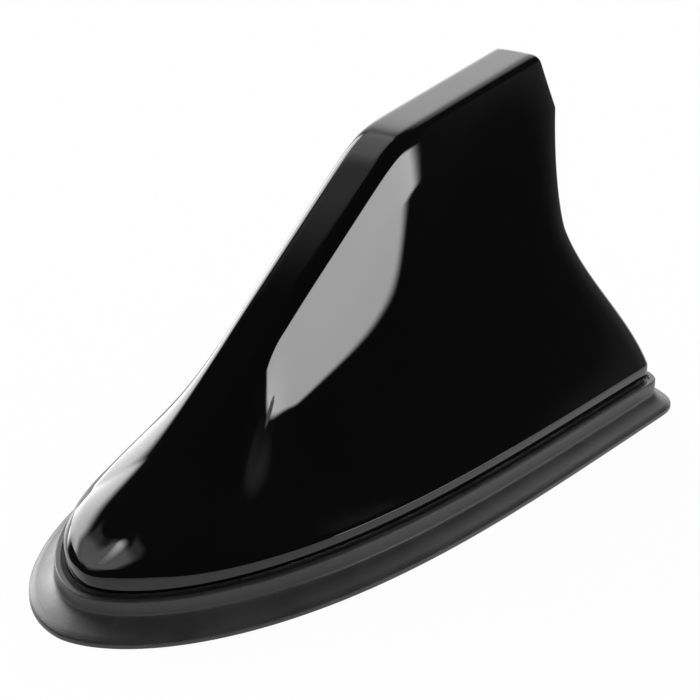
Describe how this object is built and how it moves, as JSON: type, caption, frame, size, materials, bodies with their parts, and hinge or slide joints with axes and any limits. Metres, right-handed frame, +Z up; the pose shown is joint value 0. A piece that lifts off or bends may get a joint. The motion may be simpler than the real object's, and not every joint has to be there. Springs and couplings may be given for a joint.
{
  "type": "shark fin aerial",
  "caption": "Car roof aerial: gloss fin cover on a stepped rubber foot, with plate, boards and radiators inside.",
  "frame": {"origin": "axis of the roof bolt in the plane of the car's roof", "axes": "+X towards the nose, +Y towards the left side, +Z up out of the roof"},
  "size_m": [0.1556, 0.082, 0.0736],
  "materials": {
    "cover_gloss": "gloss black lacquer over moulded plastic",
    "gasket_rubber": "matt black rubber",
    "cast_plate": "bare die casting",
    "seal_rubber": "smooth black rubber",
    "zinc_screws": "zinc plated steel",
    "turned_brass": "turned brass",
    "black_foam": "closed cell foam",
    "white_membrane": "matt porous membrane",
    "board_green": "green solder mask on glass laminate",
    "tinned_sheet": "tinned steel sheet",
    "chip_black": "moulded black package",
    "filter_ceramic": "pale ceramic package",
    "capacitor_brown": "brown ceramic chip",
    "ferrite_grey": "dark ferrite block",
    "patch_ceramic": "fired ceramic with a silver face",
    "white_plastic": "natural moulded plastic",
    "copper_wire": "enamelled copper wire"
  },
  "bodies": {
    "root": {"cover": "cover_gloss", "roof_gasket": "gasket_rubber", "base_plate": "cast_plate", "cover_seal": "seal_rubber", "cover_screws": "zinc_screws", "fixing_insert": "turned_brass", "roof_hole_seal": "black_foam", "cable_grommet": "seal_rubber", "vent_patch": "white_membrane", "main_board": "board_green", "board_screws": "zinc_screws", "shield_frame": "tinned_sheet", "shield_lid": "tinned_sheet", "amplifier_chips": "chip_black", "signal_filters": "filter_ceramic", "chip_capacitors": "capacitor_brown", "chip_coils": "ferrite_grey", "board_sockets": "turned_brass", "patch_pad": "black_foam", "patch_ceramic": "patch_ceramic", "patch_pin": "tinned_sheet", "cell_blade": "tinned_sheet", "fin_bracket": "white_plastic", "bracket_screws": "zinc_screws", "fin_board": "board_green", "top_hat": "tinned_sheet", "loading_coil": "copper_wire", "foam_pad": "black_foam"}
  },
  "joints": []
}
